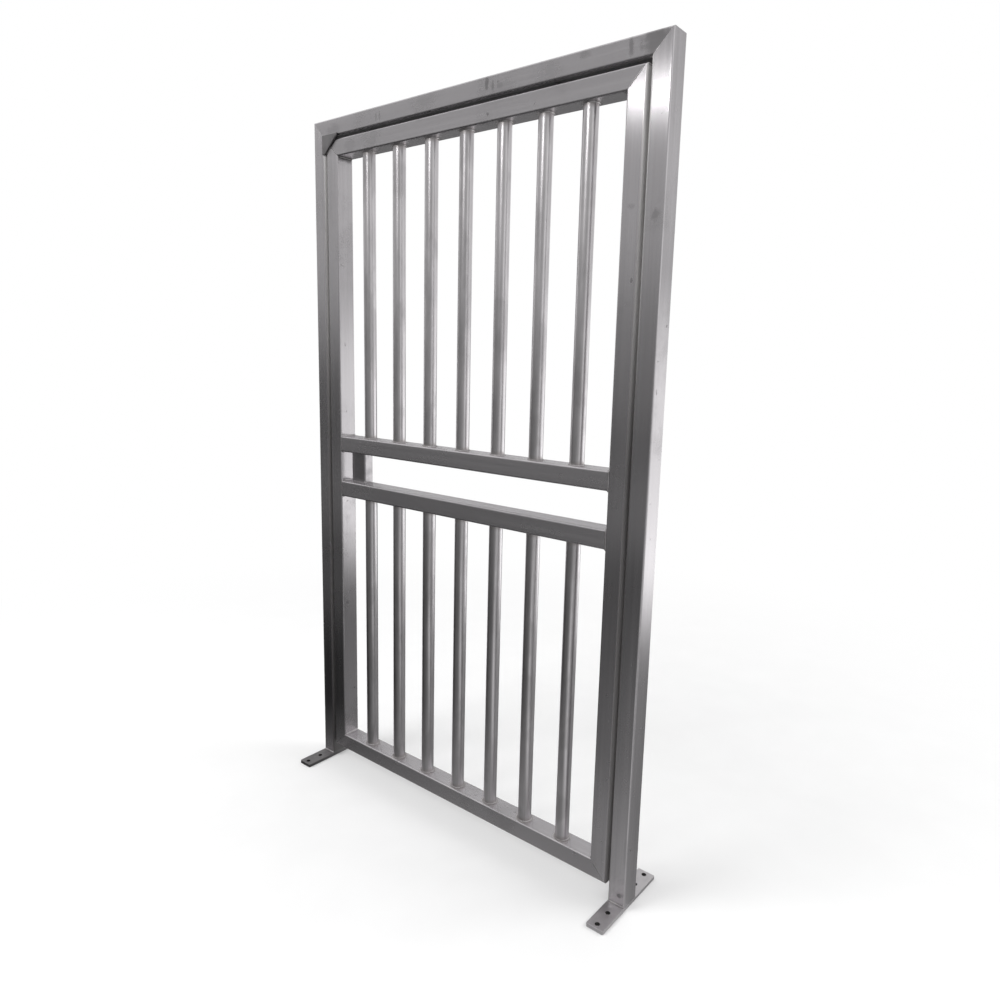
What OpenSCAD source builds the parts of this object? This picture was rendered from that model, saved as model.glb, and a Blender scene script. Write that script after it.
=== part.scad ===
// Side gate for a turnstile line: a welded portal frame with one hinged leaf.
// Both are rectangular hollow section with mitred corners. The leaf has two mid
// rails with a folded lock bracket between them, and a row of round bars above and
// below.
//
// Frame of reference: the origin is under the hinge post, in the middle of its
// foot plate's underside. X runs from the lock post to the hinge post, Y runs from
// the front to the back, and Z is up. The leaf opens to the back.

/* [Frame] */
// Height from the floor to the top of the head rail
frame_h = 2100; // [1950:10:2300]
// Width over both posts
frame_w = 1220; // [1100:10:1400]
// Width of the face of every hollow section
section_face = 50; // [45:1:60]
// Depth of every hollow section, from front to back
section_depth = 60; // [55:1:80]
// Wall of every hollow section
section_wall = 2; // [1.5:0.5:3]
// Outside corner radius of every hollow section
section_corner = 5; // [4:0.5:7]

/* [Leaf] */
// Gap from the leaf to the posts and to the head rail
leaf_gap = 10; // [9:0.5:14]
// Clear height under the leaf
leaf_clearance = 50; // [40:5:90]
// How far the leaf's front sits behind the frame's front
leaf_setback = 1; // [0.5:0.5:2]
// Height of the middle of the lock zone
lock_zone_z = 1039; // [900:1:1150]
// Clear height between the two mid rails
lock_zone_h = 96; // [80:1:130]

/* [Bars] */
// Bars in the upper panel, and again in the lower one
bar_count = 7; // [4:1:8]
// Outside diameter of a bar
bar_d = 38; // [30:1:42]
// Wall of a bar
bar_wall = 1.5; // [1:0.5:3]

/* [Lock bracket] */
// Width of the lock bracket, along the mid rails
lock_w = 60; // [45:1:80]
// Depth of the lock bracket's return, from its front to the leaf's back
lock_depth = 33; // [25:1:40]
// Clear gap between the lock stile and the lock bracket
lock_gap = 23; // [10:1:40]
// Sheet thickness of the lock bracket
lock_sheet = 3; // [2:0.5:5]
// Outside radius of the lock bracket's bend
lock_bend = 6; // [4:0.5:10]

/* [Feet] */
// Length of a foot plate, from front to back
foot_l = 270; // [240:5:320]
// Thickness of a foot plate
foot_t = 10; // [6:1:15]
// Radius of a foot plate's corners
foot_corner = 4; // [2:1:10]
// Diameter of an anchor hole
anchor_d = 12; // [9:0.5:14]
// Spacing of the outer pair of anchor holes
anchor_outer = 240; // [220:1:250]
// Spacing of the inner pair of anchor holes
anchor_inner = 140; // [100:1:180]

/* [Stop plate] */
// Length of the corner stop plate's upper side, with its blunted tip
stop_leg = 72; // [60:1:90]
// Length of its side down the post
stop_drop = 55; // [40:1:80]
// Width of its lower end, which covers the gap beside the leaf
stop_foot = 12; // [10:1:20]
// Thickness of the corner stop plate
stop_t = 5; // [3:1:8]
// How far the corner stop plate laps over the frame
stop_lap = 5; // [4:1:12]
// Width of the blunted tip of its upper side
stop_tip = 3; // [1:0.5:6]

/* [Hinges] */
// Outside diameter of a hinge barrel
barrel_d = 22; // [18:1:26]
// Length of each half of a hinge
barrel_l = 55; // [40:1:80]
// Diameter of the hinge pin
pin_d = 12; // [8:1:14]
// Thickness of the thrust washer between the two halves
washer_t = 3; // [2:0.5:4]
// Width of a hinge flap on the back of its post or stile
flap_w = 42; // [35:1:50]
// Thickness of a hinge flap
flap_t = 6; // [4:0.5:8]
// Height of the upper hinge's washer over the floor
hinge_top_z = 1780; // [1600:10:1850]
// Height of the lower hinge's washer over the floor
hinge_bottom_z = 300; // [200:10:450]

/* [Hidden] */
$fn = 48;

// Play of the hinge pin in its barrel and its washer, on the radius
pin_play = 0.05;
// Clear space over the pin's end and under the barrel's cap
pin_end_play = 2;
// Solid end of a hinge half's barrel
barrel_cap = 6;
// Chamfer on the edges of barrels, caps and pins
edge_chamfer = 1.2;
// Overshoot of cutting shapes, so that no cut ends on a face
cut = 1;

// The posts' centres and the frame's outer faces
hinge_post_x = 0;
lock_post_x = -(frame_w - section_face);
frame_x0 = lock_post_x - section_face / 2;
frame_x1 = hinge_post_x + section_face / 2;
frame_front_y = -section_depth / 2;

// The leaf's outer rectangle
leaf_x0 = frame_x0 + section_face + leaf_gap;
leaf_x1 = frame_x1 - section_face - leaf_gap;
leaf_z0 = leaf_clearance;
leaf_z1 = frame_h - section_face - leaf_gap;
leaf_w = leaf_x1 - leaf_x0;
leaf_h = leaf_z1 - leaf_z0;
leaf_y = leaf_setback;
leaf_back_y = leaf_y + section_depth / 2;

// The leaf's clear opening between its stiles, and its four rails
clear_x0 = leaf_x0 + section_face;
clear_w = leaf_w - 2 * section_face;
upper_rail_z0 = lock_zone_z + lock_zone_h / 2;
upper_rail_z1 = upper_rail_z0 + section_face;
lower_rail_z1 = lock_zone_z - lock_zone_h / 2;
lower_rail_z0 = lower_rail_z1 - section_face;

// Bars stand with equal clear gaps between each other and to the stiles
bar_gap = (clear_w - bar_count * bar_d) / (bar_count + 1);
bar_pitch = bar_gap + bar_d;

// The leaf turns about an upright axis behind the gap at the hinge post
hinge_x = leaf_x1 + leaf_gap / 2;
hinge_y = section_depth / 2 + barrel_d / 2;

BAR_NODES = [for (panel = ["upper", "lower"], i = [1:bar_count]) str(panel, "_bar_", i)];

STEEL = [0.72, 0.73, 0.74];
STEEL_DARK = [0.60, 0.61, 0.62];
BRASS = [0.78, 0.66, 0.36];

// Rectangle with rounded corners, centred on the origin
module rounded_rect(w, d, r) {
    square([w - 2 * r, d], center = true);
    square([w, d - 2 * r], center = true);
    for (x = [-1, 1], y = [-1, 1])
        translate([x * (w / 2 - r), y * (d / 2 - r)]) circle(r);
}

// The cut of every hollow section: face along X, depth along Y
module section_outline() {
    difference() {
        rounded_rect(section_face, section_depth, section_corner);
        rounded_rect(section_face - 2 * section_wall, section_depth - 2 * section_wall,
                     section_corner - section_wall);
    }
}

// Hollow section along +X with its outer face down at z = 0. Each end is square or
// mitred at 45 degrees, so that the outer face is the long one.
module section_bar(length, mitre_start = false, mitre_end = false) {
    intersection() {
        translate([0, 0, section_face / 2]) rotate([0, 90, 0])
            linear_extrude(length) section_outline();
        rotate([90, 0, 0]) linear_extrude(section_depth + 2 * cut, center = true)
            polygon([
                [0, 0],
                [length, 0],
                [length - (mitre_end ? section_face : 0), section_face],
                [mitre_start ? section_face : 0, section_face]
            ]);
    }
}

// ---- The fixed frame ----

module lock_post() {
    color(STEEL) translate([frame_x0, 0, frame_h]) rotate([0, 90, 0])
        section_bar(frame_h - foot_t, mitre_start = true);
}

module hinge_post() {
    color(STEEL) translate([frame_x1, 0, foot_t]) rotate([0, -90, 0])
        section_bar(frame_h - foot_t, mitre_end = true);
}

module head_rail() {
    color(STEEL) translate([frame_x1, 0, frame_h]) rotate([0, 180, 0])
        section_bar(frame_w, mitre_start = true, mitre_end = true);
}

// Foot plate under a post, with its four anchor holes in one line
module foot(post_x) {
    color(STEEL) translate([post_x, 0, 0]) linear_extrude(foot_t) difference() {
        rounded_rect(section_face, foot_l, foot_corner);
        for (side = [-1, 1], spacing = [anchor_outer, anchor_inner])
            translate([0, side * spacing / 2]) circle(d = anchor_d);
    }
}

module lock_foot() { foot(lock_post_x); }
module hinge_foot() { foot(hinge_post_x); }

// Three-cornered plate on the frame's front that the leaf's corner closes against
module stop_plate() {
    corner_x = frame_x0 + section_face - stop_lap;
    corner_z = frame_h - section_face + stop_lap;
    color(STEEL) translate([corner_x, frame_front_y, corner_z])
        rotate([90, 0, 0]) linear_extrude(stop_t)
            polygon([
                [0, 0],
                [stop_leg - stop_tip, 0],
                [stop_leg - stop_tip, -stop_tip],
                [stop_foot, -stop_drop],
                [0, -stop_drop]
            ]);
}

// ---- Hinges ----

// Flap on the back of a post (side = 1) or of the leaf's stile (side = -1), from
// z0 up over one barrel half
module hinge_flap(side, back_y, z0) {
    translate([hinge_x, back_y, z0])
        mirror([side < 0 ? 1 : 0, 0, 0])
            cube([leaf_gap / 2 + flap_w, flap_t, barrel_l]);
}

// Lower half: barrel with its pin, fixed to the hinge post
module pin_half(z) {
    color(STEEL_DARK) {
        translate([hinge_x, hinge_y, z - washer_t - barrel_l]) barrel_body();
        hinge_flap(1, section_depth / 2, z - washer_t - barrel_l);
        translate([hinge_x, hinge_y, z - washer_t - cut]) hinge_pin();
    }
}

// Outside of a barrel half, with chamfered rims
module barrel_body() {
    rotate_extrude() polygon([
        [0, 0],
        [barrel_d / 2 - edge_chamfer, 0],
        [barrel_d / 2, edge_chamfer],
        [barrel_d / 2, barrel_l - edge_chamfer],
        [barrel_d / 2 - edge_chamfer, barrel_l],
        [0, barrel_l]
    ]);
}

// Pin from just under its shoulder to its chamfered end
module hinge_pin() {
    length = cut + washer_t + barrel_l - barrel_cap - pin_end_play;
    rotate_extrude() polygon([
        [0, 0],
        [pin_d / 2, 0],
        [pin_d / 2, length - edge_chamfer],
        [pin_d / 2 - edge_chamfer, length],
        [0, length]
    ]);
}

// Upper half: capped socket that turns on the pin, fixed to the leaf
module socket_half(z) {
    color(STEEL_DARK) difference() {
        union() {
            translate([hinge_x, hinge_y, z]) barrel_body();
            hinge_flap(-1, leaf_back_y, z);
        }
        translate([hinge_x, hinge_y, z - cut])
            cylinder(r = pin_d / 2 + pin_play, h = barrel_l - barrel_cap + cut);
    }
}

// Thrust washer that the socket turns on
module washer(z) {
    color(BRASS) translate([hinge_x, hinge_y, z - washer_t]) difference() {
        cylinder(d = barrel_d - 2 * edge_chamfer, h = washer_t);
        translate([0, 0, -cut])
            cylinder(r = pin_d / 2 + pin_play, h = washer_t + 2 * cut);
    }
}

module hinge_pin_half_top() { pin_half(hinge_top_z); }
module hinge_pin_half_bottom() { pin_half(hinge_bottom_z); }
module hinge_washer_top() { washer(hinge_top_z); }
module hinge_washer_bottom() { washer(hinge_bottom_z); }
module hinge_socket_half_top() { socket_half(hinge_top_z); }
module hinge_socket_half_bottom() { socket_half(hinge_bottom_z); }

// ---- The leaf ----

module lock_stile() {
    color(STEEL) translate([leaf_x0, leaf_y, leaf_z1]) rotate([0, 90, 0])
        section_bar(leaf_h, mitre_start = true, mitre_end = true);
}

module hinge_stile() {
    color(STEEL) translate([leaf_x1, leaf_y, leaf_z0]) rotate([0, -90, 0])
        section_bar(leaf_h, mitre_start = true, mitre_end = true);
}

module leaf_top_rail() {
    color(STEEL) translate([leaf_x1, leaf_y, leaf_z1]) rotate([0, 180, 0])
        section_bar(leaf_w, mitre_start = true, mitre_end = true);
}

module leaf_bottom_rail() {
    color(STEEL) translate([leaf_x0, leaf_y, leaf_z0])
        section_bar(leaf_w, mitre_start = true, mitre_end = true);
}

// Rail between the stiles, with square ends, from z0 up
module mid_rail(z0) {
    color(STEEL) translate([clear_x0, leaf_y, z0]) section_bar(clear_w);
}

module upper_mid_rail() { mid_rail(upper_rail_z0); }
module lower_mid_rail() { mid_rail(lower_rail_z0); }

// Round bar number i of a panel, counted from the lock stile
module bar(i, z0, z1) {
    color(STEEL)
        translate([clear_x0 + i * bar_pitch - bar_d / 2, leaf_y, z0]) difference() {
            cylinder(d = bar_d, h = z1 - z0);
            translate([0, 0, -cut]) cylinder(d = bar_d - 2 * bar_wall, h = z1 - z0 + 2 * cut);
        }
}

module upper_bar(i) { bar(i, upper_rail_z1, leaf_z1 - section_face); }
module lower_bar(i) { bar(i, leaf_z0 + section_face, lower_rail_z0); }

// Bracket between the mid rails, at the lock stile: a front leaf of sheet with its
// free side folded back to the leaf's back face, open to the back and to the stile
module lock_case() {
    color(STEEL_DARK)
        translate([clear_x0 + lock_gap, leaf_back_y, lower_rail_z1])
            linear_extrude(lock_zone_h) difference() {
                bent_corner(lock_w, lock_depth, lock_bend);
                translate([-lock_sheet, lock_sheet])
                    bent_corner(lock_w, lock_depth, lock_bend - lock_sheet);
            }
}

// Rectangle from the origin to +w and -d, with its far front corner rounded
module bent_corner(w, d, r) {
    translate([0, -d]) square([w - r, d]);
    translate([0, r - d]) square([w, d - r]);
    translate([w - r, r - d]) circle(r);
}

// ---- Drawing ----

lock_post();
hinge_post();
head_rail();
lock_foot();
hinge_foot();
stop_plate();
hinge_pin_half_top();
hinge_pin_half_bottom();
hinge_washer_top();
hinge_washer_bottom();
lock_stile();
hinge_stile();
leaf_top_rail();
leaf_bottom_rail();
upper_mid_rail();
lower_mid_rail();
lock_case();
hinge_socket_half_top();
hinge_socket_half_bottom();
for (i = [1:bar_count]) {
    upper_bar(i);
    lower_bar(i);
}
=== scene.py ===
# %% [markdown]
# # Side gate for a turnstile line
#
# The gate is a welded portal frame of stainless steel hollow section, with one hinged
# leaf of mitred section and round bars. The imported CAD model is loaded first. It fixes
# every size and place, so that each piece made below goes exactly where the CAD says.

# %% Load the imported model
import math

import bmesh
import bpy
from mathutils import Matrix, Vector


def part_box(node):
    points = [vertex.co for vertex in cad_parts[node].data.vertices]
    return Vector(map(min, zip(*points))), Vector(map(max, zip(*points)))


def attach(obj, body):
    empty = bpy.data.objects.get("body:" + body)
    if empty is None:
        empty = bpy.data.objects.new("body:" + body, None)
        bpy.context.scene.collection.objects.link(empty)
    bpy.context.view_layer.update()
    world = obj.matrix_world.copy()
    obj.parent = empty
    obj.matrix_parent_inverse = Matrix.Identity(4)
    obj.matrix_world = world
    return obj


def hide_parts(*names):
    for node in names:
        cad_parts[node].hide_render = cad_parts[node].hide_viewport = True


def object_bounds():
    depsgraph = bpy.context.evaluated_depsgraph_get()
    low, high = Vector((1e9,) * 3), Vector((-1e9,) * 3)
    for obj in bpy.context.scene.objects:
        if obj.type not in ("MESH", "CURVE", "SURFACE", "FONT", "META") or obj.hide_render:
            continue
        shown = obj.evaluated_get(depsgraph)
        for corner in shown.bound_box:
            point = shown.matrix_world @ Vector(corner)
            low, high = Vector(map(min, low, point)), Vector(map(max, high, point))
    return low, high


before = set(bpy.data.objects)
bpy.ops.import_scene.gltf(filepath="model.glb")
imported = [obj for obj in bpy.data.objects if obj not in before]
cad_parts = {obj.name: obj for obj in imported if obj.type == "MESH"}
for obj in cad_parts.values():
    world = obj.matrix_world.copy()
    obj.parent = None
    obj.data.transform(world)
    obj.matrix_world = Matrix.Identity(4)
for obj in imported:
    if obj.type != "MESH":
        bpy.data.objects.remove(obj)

cad_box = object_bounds()
print("CAD box", [tuple(round(value, 4) for value in corner) for corner in cad_box])

# %% [markdown]
# A few sizes drive everything else. They are read from the boxes of the CAD nodes:
# the face and depth of a hollow section come from the hinge post, the bar's diameter
# and spacing from the first two bars.

# %% Driving sizes
MM = 0.001
post_low, post_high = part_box("hinge_post")
FACE = post_high.x - post_low.x
DEPTH = post_high.y - post_low.y
WALL = 2 * MM
CORNER = 5 * MM
FRONT, ACROSS = Vector((0, -1, 0)), Vector((1, 0, 0))

upper_bar_low, upper_bar_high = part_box("upper_bar_1")
BAR_RADIUS = (upper_bar_high.x - upper_bar_low.x) / 2
BAR_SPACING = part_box("upper_bar_2")[0].x - upper_bar_low.x
BAR_COUNT = sum(1 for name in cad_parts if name.startswith("upper_bar_"))
gate_middle = (cad_box[0] + cad_box[1]) / 2
print(f"section {FACE:.3f} x {DEPTH:.3f}, {BAR_COUNT} bars, {BAR_SPACING:.5f} apart")

# %% [markdown]
# The camera stands in front of the hinge post at the height of a chest, with a wide
# lens. That is what makes the near post tall and the far one short. It could be aimed
# with a constraint, but a lens this wide shows every degree, so its turns are given.

# %% Camera
EYE = Vector((0.8400, -1.5819, 1.4037))
HEADING, TILT, LEAN = math.radians(38.488), math.radians(-9.798), math.radians(1.42)
SENSOR_WIDTH = 36
FOCAL_LENGTH = 27.05
SHIFT_RIGHT, SHIFT_UP = -0.0073, -0.0139


def new_object(name, data, *materials):
    """An object in the scene that shows the data, with these finishes"""
    thing = bpy.data.objects.new(name, data)
    bpy.context.scene.collection.objects.link(thing)
    for material in materials:
        data.materials.append(material)
    return thing


camera = new_object("camera", bpy.data.cameras.new("camera"))
camera.data.sensor_width = SENSOR_WIDTH
camera.data.lens = FOCAL_LENGTH
camera.data.shift_x = SHIFT_RIGHT
camera.data.shift_y = SHIFT_UP
camera.matrix_world = (
    Matrix.Translation(EYE)
    @ Matrix.Rotation(HEADING, 4, "Z")
    @ Matrix.Rotation(math.pi / 2 + TILT, 4, "X")
    @ Matrix.Rotation(LEAN, 4, "Z")
)
bpy.context.scene.camera = camera
bpy.context.scene.view_settings.view_transform = "Standard"
print("camera is", round((EYE - gate_middle).length, 2), "m from the middle of the gate")

# %% [markdown]
# Materials are networks of nodes. `put` adds one node and wires or sets its inputs in
# the same line. Every link and every node knows the tree it is in, as its `id_data`, so
# the other helpers, which are one kind of sum each, need not be told. That keeps the
# recipes below short enough to read.

# %% Small helpers for node networks
LINKS = (bpy.types.Node, bpy.types.NodeSocket)


def put(where, kind, sockets=None, **options):
    """One new node in a tree, which is given by itself or by anything in it. Options are
    the node's own settings, sockets are values, links or nodes"""
    node = where.id_data.nodes.new(kind)
    for name, value in options.items():
        setattr(node, name, value)
    for key, value in (sockets or {}).items():
        if isinstance(value, bpy.types.Node):
            value = value.outputs[0]
        if isinstance(value, bpy.types.NodeSocket):
            node.id_data.links.new(value, node.inputs[key])
        else:
            node.inputs[key].default_value = value
    return node


def math_node(operation, *values):
    """Result of one sum on numbers and links"""
    where = next(value for value in values if isinstance(value, LINKS))
    return put(where, "ShaderNodeMath", dict(enumerate(values)), operation=operation).outputs[0]


def vector_node(operation, *vectors):
    """Result of one sum on vectors: a number for a length or a distance, else a vector"""
    node = put(vectors[0], "ShaderNodeVectorMath", dict(enumerate(vectors)),
               operation=operation)
    return node.outputs["Value" if operation in ("LENGTH", "DISTANCE") else "Vector"]


def product(first, *factors):
    """All the factors multiplied"""
    for factor in factors:
        first = math_node("MULTIPLY", first, factor)
    return first


def weighed(start, *parts):
    """A start value plus each part times its weight"""
    for part, weight in parts:
        start = math_node("MULTIPLY_ADD", part, weight, start)
    return start


def remap(value, low, high, to_low=0.0, to_high=1.0, shape="SMOOTHSTEP"):
    """Value stretched from low..high to to_low..to_high, and kept between them"""
    return put(value, "ShaderNodeMapRange",
               {0: value, 1: low, 2: high, 3: to_low, 4: to_high},
               interpolation_type=shape).outputs[0]


def fade(value, start, end):
    """1 up to start, falling to 0 at end"""
    return remap(value, start, end, 1.0, 0.0)


def tinted(colour, tone):
    """A colour times a tone"""
    return put(tone, "ShaderNodeMix", {0: 1.0, 6: colour, 7: tone},
               data_type="RGBA", blend_type="MULTIPLY").outputs[2]


def blend_colour(amount, first, second):
    """Two colours mixed"""
    return put(amount, "ShaderNodeMix", {0: amount, 6: first, 7: second},
               data_type="RGBA").outputs[2]


def noise(vector, scale=1.0, detail=3.0, rough=0.55):
    """A soft random value from 0 to 1"""
    return put(vector, "ShaderNodeTexNoise",
               {"Vector": vector, "Scale": scale, "Detail": detail, "Roughness": rough}
               ).outputs[0]


def axes(vector):
    """The X, Y and Z of a vector"""
    return put(vector, "ShaderNodeSeparateXYZ", {0: vector}).outputs


def new_material(name):
    """An empty material, its tree and its surface socket"""
    material = bpy.data.materials.new(name)
    material.use_nodes = True
    tree = material.node_tree
    tree.nodes.clear()
    output = tree.nodes.new("ShaderNodeOutputMaterial")
    return material, tree, output.inputs["Surface"]


def object_coords(tree):
    """Place on the object, in metres"""
    return put(tree, "ShaderNodeTexCoord").outputs["Object"]


# %% [markdown]
# The gate stands in a white studio. What the camera sees, and what the steel reflects,
# is the same white. Everything else gets a softer light from the world, so that shadows
# on the floor stay visible. An image of a studio could light it too, but plain white
# leaves the tones of the steel to the cards further down.

# %% World
WHITE = (1.0, 1.0, 1.0, 1.0)
SOFT_LIGHT = 0.82


def seen_rays(tree):
    """1 for rays from the camera, off gloss and through glass, 0 for the rest"""
    path = put(tree, "ShaderNodeLightPath")
    seen = math_node("ADD", path.outputs["Is Camera Ray"],
                     path.outputs["Is Glossy Ray"])
    seen = math_node("ADD", seen, path.outputs["Is Transmission Ray"])
    return math_node("MINIMUM", seen, 1.0)


world = bpy.data.worlds.new("studio")
bpy.context.scene.world = world
world.use_nodes = True
sky = world.node_tree
sky.nodes.clear()
soft = put(sky, "ShaderNodeBackground", {"Color": WHITE, "Strength": SOFT_LIGHT})
white = put(sky, "ShaderNodeBackground", {"Color": WHITE, "Strength": 1.0})
either = put(sky, "ShaderNodeMixShader", {0: seen_rays(sky), 1: soft, 2: white})
put(sky, "ShaderNodeOutputWorld", {"Surface": either})
print("world: white where it is seen,", SOFT_LIGHT, "as light")

# %% [markdown]
# The floor is a large disc. Near the gate it is a real pale surface that takes the
# soft shadow of the feet and rails. Further out it turns into plain white by distance
# from the gate, because a floor that stayed pale would end in a line at the horizon.

# %% Floor
FLOOR_RADIUS = 14.0
FLOOR_STEPS = 96
FLOOR_CLOUDS = 6.0  # to the metre
FLOOR_TONES = (0.862, 0.874)
SHADOW_REACH = 1.1
FADE_END = 3.2


def mesh_of(shape, name):
    """A drawn shape as a mesh; the drawing is then gone"""
    mesh = bpy.data.meshes.new(name)
    shape.to_mesh(mesh)
    shape.free()
    return mesh


material, tree, surface = new_material("pale_floor")
coords = object_coords(tree)
from_gate = vector_node("DISTANCE", coords, (gate_middle.x, 0, 0))
clouds = noise(coords, FLOOR_CLOUDS, rough=0.5)
paint = put(tree, "ShaderNodeBsdfDiffuse",
            {"Color": remap(clouds, 0.3, 0.7, *FLOOR_TONES)})
plain = put(tree, "ShaderNodeEmission", {"Color": WHITE, "Strength": 1.0})
far = product(remap(from_gate, SHADOW_REACH, FADE_END), seen_rays(tree))
both = put(tree, "ShaderNodeMixShader", {0: far, 1: paint, 2: plain})
tree.links.new(both.outputs[0], surface)

disc = bmesh.new()
bmesh.ops.create_circle(disc, cap_ends=True, segments=FLOOR_STEPS, radius=FLOOR_RADIUS)
bmesh.ops.translate(disc, verts=disc.verts, vec=(gate_middle.x, 0, 0))
floor = new_object("floor", mesh_of(disc, "floor"), material)
print("floor radius", FLOOR_RADIUS)

# %% [markdown]
# One large soft lamp from the front left gives the floor its soft shadow, and a weaker
# one fills it from behind on the right. Steel has no colour of its own to light up: it
# only mirrors what stands round it. So the third lamp is a narrow strip, high in front
# of the gate, which steel does mirror. It draws the bright band near the top of the
# uprights.

# %% Lamps
WALL_Y = 3.2
STRIP_X, STRIP_Z = -0.45, 2.98
LAMPS = [  # name, place, aim, width, height, watts, seen in gloss
    ("key_lamp", (-2.6, -3.4, 4.2), gate_middle, 2.6, 2.6, 130, False),
    ("fill_lamp", (3.0, 2.6, 3.6), gate_middle, 2.6, 2.6, 75, False),
    ("strip_lamp", (STRIP_X, 0.1 - WALL_Y, STRIP_Z), (STRIP_X, 0, STRIP_Z), 1.2, 0.12, 9.0, True),
]

for name, place, aim, width, height, watts, in_gloss in LAMPS:
    light = bpy.data.lights.new(name, "AREA")
    light.shape = "RECTANGLE"
    light.size, light.size_y, light.energy = width, height, watts
    aim_turn = (Vector(aim) - Vector(place)).to_track_quat("-Z", "Y").to_matrix().to_4x4()
    lamp = new_object(name, light)
    lamp.matrix_world = Matrix.Translation(place) @ aim_turn
    lamp.visible_glossy = in_gloss
print(len(LAMPS), "lamps")

# %% [markdown]
# Polished metal that mirrors only white looks like paper, so in a studio grey and white
# cards stand round it. Here a card lies in front of the gate and turns up into a wall,
# another does the same behind it, and a third closes the right side. A glow for each
# corner of each patch lets them shade smoothly. Only reflections see them: no camera,
# shadow or soft light does.

# %% One reflection card
JUST_OVER_FLOOR = 0.8 * MM

card_finish, tree, surface = new_material("card_glow")
glow = put(tree, "ShaderNodeAttribute", attribute_name="glow").outputs["Fac"]
shine = put(tree, "ShaderNodeEmission", {"Color": WHITE, "Strength": glow})
tree.links.new(shine.outputs[0], surface)


def reflection_card(name, out_way, across_way, floor_rows, wall_at, wall_rows, columns,
                    lift=JUST_OVER_FLOOR):
    """Card that lies on the floor and turns up into a wall. A floor row is (how far out,
    then its glows from left to right), a wall row (how high, then its glows), a column
    (place at the gate, drift per metre out, which glow)"""
    rows = [(out, lift, shades) for out, *shades in floor_rows]
    rows += [(wall_at, up, shades) for up, *shades in wall_rows]
    points, glows = [], []
    for out, up, shades in rows:
        for start, drift, which in columns:
            place = out_way * out + across_way * (start + drift * out)
            points.append((place.x, place.y, up))
            glows.append(shades[which])
    wide = len(columns)
    corners = [wide * row + k for row in range(len(rows) - 1) for k in range(wide - 1)]
    faces = [(k, k + 1, k + 1 + wide, k + wide) for k in corners]
    mesh = bpy.data.meshes.new(name)
    mesh.from_pydata(points, [], faces)
    mesh.attributes.new("glow", "FLOAT", "POINT").data.foreach_set("value", glows)
    card = new_object(name, mesh, card_finish)
    card.visible_camera = card.visible_diffuse = card.visible_shadow = False
    card.visible_transmission = False
    print(name, len(mesh.polygons), "patches")


# %% [markdown]
# A flat steel face mirrors one stretch of a card, so a card's glows become the tones of
# the faces. The fronts mirror the front card: nearly black on the floor and light grey
# high on the wall, so uprights grow lighter upwards. A bright band on it, which runs away
# from the gate, is for the round bars. The sides of the members mirror the back card.

# %% Three cards round the gate
WALL_X = 4.2
FRONT_FLOOR = [(0.00, 0.20, 0.34, 0.44, 0.28), (0.15, 0.05, 0.27, 0.54, 0.26),
               (0.30, 0.00, 0.26, 0.72, 0.26), (0.65, 0.00, 0.15, 0.80, 0.26),
               (0.95, 0.03, 0.14, 0.80, 0.30), (1.30, 0.11, 0.12, 0.74, 0.36),
               (2.10, 0.08, 0.09, 0.60, 0.44), (2.80, 0.13, 0.08, 0.44, 0.42)]
FRONT_WALL = [(0.2, 0.13, 0.20, 0.34, 0.34), (0.5, 0.08, 0.20, 0.32, 0.32),
              (0.8, 0.08, 0.15, 0.30, 0.30), (1.1, 0.11, 0.22, 0.32, 0.32),
              (1.4, 0.24, 0.24, 0.33, 0.33), (1.7, 0.37, 0.26, 0.34, 0.34),
              (2.0, 0.47, 0.37, 0.36, 0.36), (2.3, 0.50, 0.48, 0.40, 0.40),
              (3.0, 0.52, 0.48, 0.45, 0.45), (3.4, 0.44, 0.44, 0.45, 0.45),
              (4.8, 0.40, 0.40, 0.50, 0.50)]
FRONT_COLUMNS = [(-4.0, -3.5, 0), (-1.17, -1.1, 0), (-0.3, -0.45, 1), (-0.12, -0.05, 1),
                 (0.0, 0.75, 2), (0.14, 1.2, 3), (1.5, 0.85, 3)]
BACK_FLOOR = [(0.00, 0.20, 0.26, 0.30, 0.62), (0.30, 0.20, 0.25, 0.26, 0.64),
              (0.65, 0.18, 0.22, 0.25, 0.66), (1.20, 0.15, 0.16, 0.24, 0.68),
              (1.55, 0.15, 0.15, 0.40, 0.60), (2.10, 0.15, 0.16, 1.30, 0.80),
              (2.80, 0.15, 0.16, 2.00, 1.00)]
BACK_WALL = [(0.2, 0.15, 0.16, 1.60, 1.00), (0.8, 0.15, 0.20, 1.35, 1.00),
             (1.1, 0.20, 0.34, 1.38, 1.00), (1.4, 0.20, 0.56, 1.20, 1.00),
             (1.7, 0.20, 0.72, 0.88, 0.90), (2.0, 0.15, 0.86, 0.58, 0.75),
             (2.6, 0.06, 0.84, 0.68, 0.75), (3.0, 0.03, 0.76, 0.72, 0.75),
             (3.3, 0.03, 0.08, 0.60, 0.70), (4.4, 0.03, 0.04, 0.52, 0.60)]
BACK_COLUMNS = [(-3.0, -2.6, 0), (-2.0, -1.1, 0), (-1.8, -1.02, 1), (-0.1, -0.15, 1),
                (0.0, 0.2, 2), (0.3, 0.9, 2), (0.7, 1.3, 3), (1.6, 1.6, 3)]
RIGHT_FLOOR = [(1.55, 0.44, 0.55), (WALL_X, 0.44, 0.62)]
RIGHT_WALL = [(0.6, 0.42, 0.72), (1.2, 0.40, 0.88), (2.5, 0.42, 0.88), (4.6, 0.50, 0.88)]
RIGHT_COLUMNS = [(1.77, -1.18, 0), (1.2, -0.75, 1), (-1.0, 0.8, 1)]
reflection_card("front_card", FRONT, ACROSS, FRONT_FLOOR, WALL_Y, FRONT_WALL, FRONT_COLUMNS)
reflection_card("back_card", -FRONT, ACROSS, BACK_FLOOR, WALL_Y, BACK_WALL, BACK_COLUMNS)
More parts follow.
